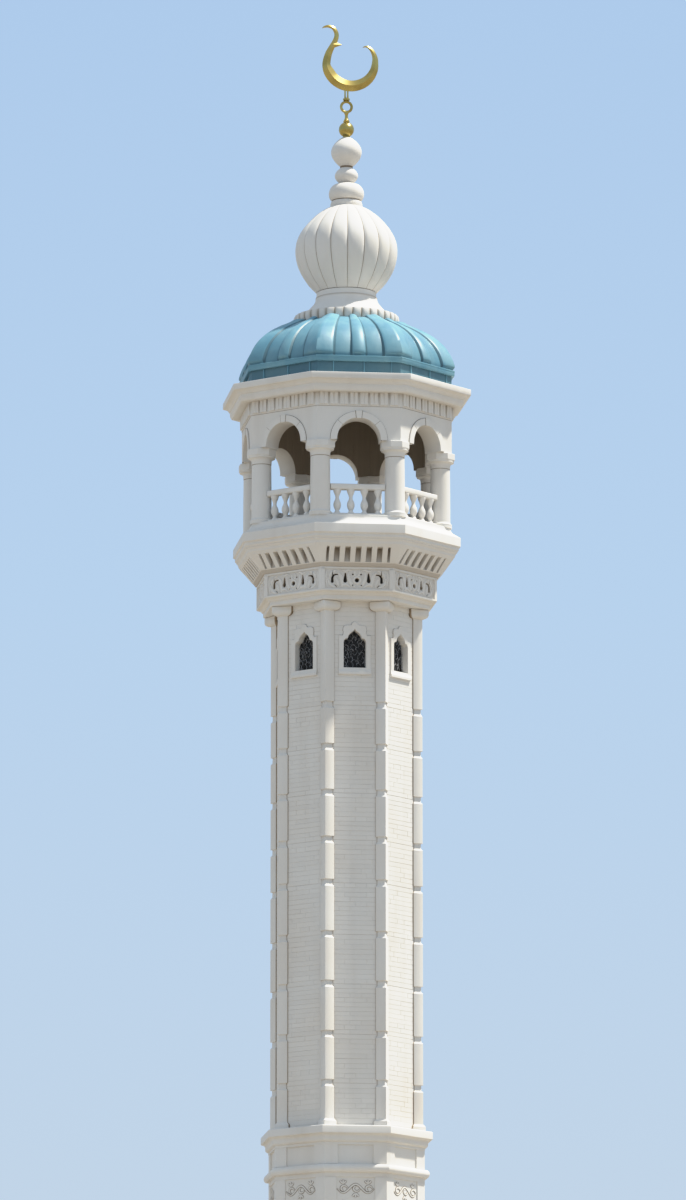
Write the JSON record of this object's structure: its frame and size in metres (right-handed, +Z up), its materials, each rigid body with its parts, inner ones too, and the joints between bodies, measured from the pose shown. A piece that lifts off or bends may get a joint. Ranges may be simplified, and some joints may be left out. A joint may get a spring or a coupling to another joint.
{
  "type": "minaret",
  "caption": "Octagonal masonry minaret with corner pilasters, a corbelled arcaded gallery, a ribbed sheet-metal dome, an onion finial and a gilded crescent.",
  "frame": {"origin": "middle of the flat underside of the stepped foot, at ground level, on the tower's axis", "axes": "+Z up along the tower's axis; -Y out of the front face, the one with the doorway; +X to the right seen from the front"},
  "size_m": [5.8334, 5.8334, 37.3887],
  "materials": {
    "stone": "limewashed dressed stone, matt",
    "dome_sheet": "blue-green painted sheet metal, weathered",
    "gold": "gilded metal, satin",
    "bronze": "dark pierced metal screens, matt",
    "timber": "dark oiled timber"
  },
  "bodies": {
    "root": {"stepped_foot": "stone", "lower_wall_front": "stone", "lower_wall_right": "stone", "lower_wall_back": "stone", "lower_wall_left": "stone", "door_leaf": "timber", "carved_band": "stone", "base_cornice": "stone", "shaft_wall_1": "stone", "shaft_wall_2": "stone", "shaft_wall_3": "stone", "shaft_wall_4": "stone", "shaft_wall_5": "stone", "shaft_wall_6": "stone", "shaft_wall_7": "stone", "shaft_wall_8": "stone", "window_screens": "bronze", "frieze": "stone", "corbel_ring": "stone", "gallery_slab": "stone", "balustrade_1": "stone", "balustrade_2": "stone", "balustrade_3": "stone", "balustrade_4": "stone", "balustrade_5": "stone", "balustrade_6": "stone", "balustrade_7": "stone", "balustrade_8": "stone", "column_1": "stone", "column_2": "stone", "column_3": "stone", "column_4": "stone", "column_5": "stone", "column_6": "stone", "column_7": "stone", "column_8": "stone", "arch_1": "stone", "arch_2": "stone", "arch_3": "stone", "arch_4": "stone", "arch_5": "stone", "arch_6": "stone", "arch_7": "stone", "arch_8": "stone", "top_cornice": "stone", "dome": "dome_sheet", "finial_pedestal": "stone", "onion": "stone", "finial_beads": "stone", "crescent": "gold"}
  },
  "joints": []
}
